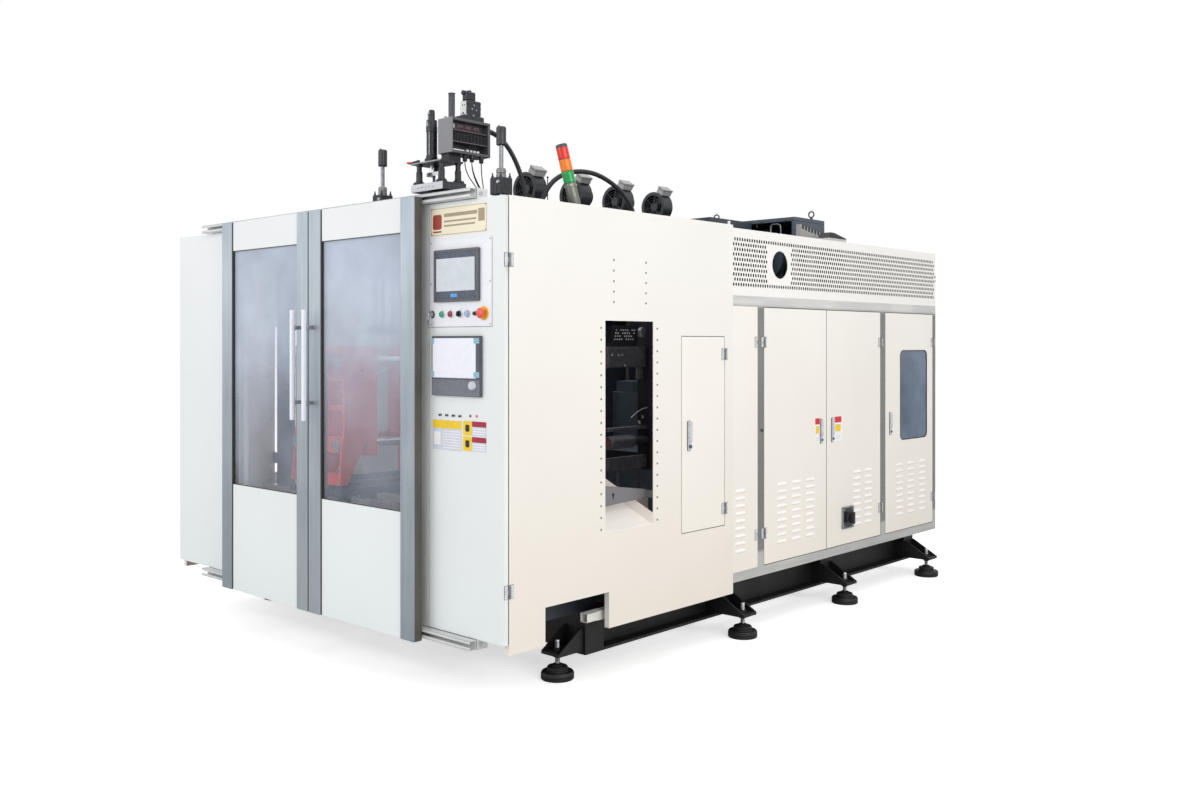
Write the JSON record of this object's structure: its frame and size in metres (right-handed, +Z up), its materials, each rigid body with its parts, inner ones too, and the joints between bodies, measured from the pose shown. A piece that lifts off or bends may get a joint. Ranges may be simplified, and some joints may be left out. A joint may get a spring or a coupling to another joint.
{
  "type": "blow moulding machine",
  "caption": "Extrusion blow moulding machine in a sheet-metal enclosure with sliding windowed doors, a control column, service cabinets, a top extruder with blowers and levelling feet.",
  "frame": {"origin": "on the floor, at the centre of the machine's outer box", "axes": "+Z up, the sliding doors face -Y, the long service side faces +X"},
  "size_m": [3.069, 4.257, 3.065],
  "materials": {
    "cover_paint": "satin",
    "frame_paint": "satin",
    "brushed": "brushed",
    "drive_paint": "satin",
    "clamp_paint": "gloss",
    "steel": "machined",
    "zinc": "zinc plated",
    "pane": "clear",
    "plate_white": "satin",
    "blower_paint": "satin",
    "screen_plastic": "satin",
    "controller_plastic": "matte",
    "black_plastic": "matte",
    "green_plastic": "gloss",
    "red_plastic": "gloss",
    "white_plastic": "gloss",
    "lens_plastic": "translucent",
    "chute_steel": "satin",
    "conduit_plastic": "matte",
    "box_paint": "satin"
  },
  "bodies": {
    "machine": {"base_frame": "frame_paint", "levelling_feet": "frame_paint", "machine_frame": "frame_paint", "right_side_cover": "cover_paint", "left_side_cover": "cover_paint", "front_left_panel": "cover_paint", "control_column": "cover_paint", "door_rails": "brushed", "cabinet_frame": "brushed", "cabinet_panels": "cover_paint", "door_hinges": "zinc", "outlet_chutes": "chute_steel", "extruder_barrel": "steel", "barrel_covers": "brushed", "gearbox": "drive_paint", "drive_motor": "drive_paint", "drive_hood": "drive_paint", "blower_housings": "blower_paint", "terminal_boxes": "box_paint", "die_head": "steel", "head_plates": "plate_white", "parison_cylinder": "black_plastic", "valve_manifold": "black_plastic", "conduits_and_hose": "conduit_plastic", "tower_body": "box_paint", "tower_lenses": "lens_plastic", "blow_unit_frames": "frame_paint", "slide_rails": "steel", "hydraulic_unit": "box_paint"},
    "right_door": {"right_door": "brushed", "right_door_pane": "pane"},
    "left_door": {"left_door": "brushed", "left_door_pane": "pane"},
    "control_door": {"control_door": "cover_paint", "operator_panel": "screen_plastic", "parison_controller": "controller_plastic"},
    "controller_knob": {"controller_knob": "black_plastic"},
    "key_switch": {"key_switch": "steel"},
    "start_button": {"start_button": "green_plastic"},
    "stop_button": {"stop_button": "red_plastic"},
    "selector_switch": {"selector_switch": "black_plastic"},
    "reset_button": {"reset_button": "white_plastic"},
    "emergency_stop": {"emergency_stop": "red_plastic"},
    "access_door": {"access_door": "cover_paint"},
    "service_door_1": {"service_door_1": "cover_paint"},
    "service_door_2": {"service_door_2": "cover_paint"},
    "service_door_3": {"service_door_3": "cover_paint"},
    "main_switch": {"main_switch": "black_plastic"},
    "left_carriage": {"left_carriage": "clamp_paint"},
    "left_clamp": {"left_front_platen": "clamp_paint", "left_tie_bars": "steel"},
    "left_rear_platen": {"left_rear_platen": "clamp_paint"},
    "right_carriage": {"right_carriage": "clamp_paint"},
    "right_clamp": {"right_front_platen": "clamp_paint", "right_tie_bars": "steel"},
    "right_rear_platen": {"right_rear_platen": "clamp_paint"},
    "left_blow_pin": {"left_blow_pin": "steel"},
    "right_blow_pin": {"right_blow_pin": "steel"},
    "mandrel": {"mandrel_rod": "steel"},
    "screw": {"extruder_screw": "steel"}
  },
  "joints": [
    {"name": "right_door_slide", "type": "slide", "parent": "machine", "child": "right_door", "axis": [1, 0, 0], "range_m": [0, 0.34]},
    {"name": "left_door_slide", "type": "slide", "parent": "machine", "child": "left_door", "axis": [-1, 0, 0], "range_m": [0, 0.34]},
    {"name": "control_door_hinge", "type": "hinge", "parent": "machine", "child": "control_door", "pos_m": [1.4608, -1.9495, 1.25], "axis": [0, 0, -1], "range_deg": [-110, 0]},
    {"name": "key_switch_turn", "type": "hinge", "parent": "control_door", "child": "key_switch", "pos_m": [0.9695, -1.9855, 1.735], "axis": [0, 1, 0], "range_deg": [-90, 0]},
    {"name": "start_button_press", "type": "slide", "parent": "control_door", "child": "start_button", "axis": [0, 1, 0], "range_m": [0, 0.005], "stiffness_N_per_m": 400},
    {"name": "stop_button_press", "type": "slide", "parent": "control_door", "child": "stop_button", "axis": [0, 1, 0], "range_m": [0, 0.005], "stiffness_N_per_m": 400},
    {"name": "reset_button_press", "type": "slide", "parent": "control_door", "child": "reset_button", "axis": [0, 1, 0], "range_m": [0, 0.005], "stiffness_N_per_m": 400},
    {"name": "selector_turn", "type": "hinge", "parent": "control_door", "child": "selector_switch", "pos_m": [1.1645, -1.9855, 1.735], "axis": [0, 1, 0], "range_deg": [-45, 45]},
    {"name": "emergency_stop_press", "type": "slide", "parent": "control_door", "child": "emergency_stop", "axis": [0, 1, 0], "range_m": [0, 0.005], "stiffness_N_per_m": 800},
    {"name": "controller_knob_turn", "type": "hinge", "parent": "control_door", "child": "controller_knob", "pos_m": [1.2705, -1.9955, 1.416], "axis": [0, 1, 0], "range_deg": [-150, 150]},
    {"name": "access_door_hinge", "type": "hinge", "parent": "machine", "child": "access_door", "pos_m": [1.4608, -0.3805, 1.134], "axis": [0, 0, 1], "range_deg": [0, 110]},
    {"name": "service_door_1_hinge", "type": "hinge", "parent": "machine", "child": "service_door_1", "pos_m": [1.4488, 0.0075, 1.08], "axis": [0, 0, -1], "range_deg": [0, 105]},
    {"name": "service_door_2_hinge", "type": "hinge", "parent": "machine", "child": "service_door_2", "pos_m": [1.4488, 1.3435, 1.08], "axis": [0, 0, 1], "range_deg": [0, 105]},
    {"name": "service_door_3_hinge", "type": "hinge", "parent": "machine", "child": "service_door_3", "pos_m": [1.4488, 2.0865, 1.08], "axis": [0, 0, 1], "range_deg": [0, 105]},
    {"name": "main_switch_turn", "type": "hinge", "parent": "service_door_2", "child": "main_switch", "pos_m": [1.4545, 0.9165, 0.5215], "axis": [1, 0, 0], "range_deg": [-90, 0]},
    {"name": "left_carriage_slide", "type": "slide", "parent": "machine", "child": "left_carriage", "axis": [1, 0, 0], "range_m": [0, 0.531]},
    {"name": "left_clamp_close", "type": "slide", "parent": "left_carriage", "child": "left_clamp", "axis": [0, 1, 0], "range_m": [0, 0.1]},
    {"name": "left_rear_platen_close", "type": "slide", "parent": "left_carriage", "child": "left_rear_platen", "axis": [0, -1, 0], "range_m": [0, 0.1]},
    {"name": "left_blow_pin_stroke", "type": "slide", "parent": "machine", "child": "left_blow_pin", "axis": [0, 0, -1], "range_m": [0, 0.1]},
    {"name": "right_carriage_slide", "type": "slide", "parent": "machine", "child": "right_carriage", "axis": [1, 0, 0], "range_m": [-0.531, 0]},
    {"name": "right_clamp_close", "type": "slide", "parent": "right_carriage", "child": "right_clamp", "axis": [0, 1, 0], "range_m": [0, 0.1]},
    {"name": "right_rear_platen_close", "type": "slide", "parent": "right_carriage", "child": "right_rear_platen", "axis": [0, -1, 0], "range_m": [0, 0.1]},
    {"name": "right_blow_pin_stroke", "type": "slide", "parent": "machine", "child": "right_blow_pin", "axis": [0, 0, -1], "range_m": [0, 0.1]},
    {"name": "mandrel_stroke", "type": "slide", "parent": "machine", "child": "mandrel", "axis": [0, 0, -1], "range_m": [0, 0.012]},
    {"name": "screw_turn", "type": "hinge", "parent": "machine", "child": "screw", "pos_m": [0, 0.0245, 2.3], "axis": [0, 1, 0], "continuous": true}
  ],
  "couplings": [
    {"joint": "left_rear_platen_close", "follows": "left_clamp_close", "ratio": 1},
    {"joint": "right_rear_platen_close", "follows": "right_clamp_close", "ratio": 1}
  ]
}
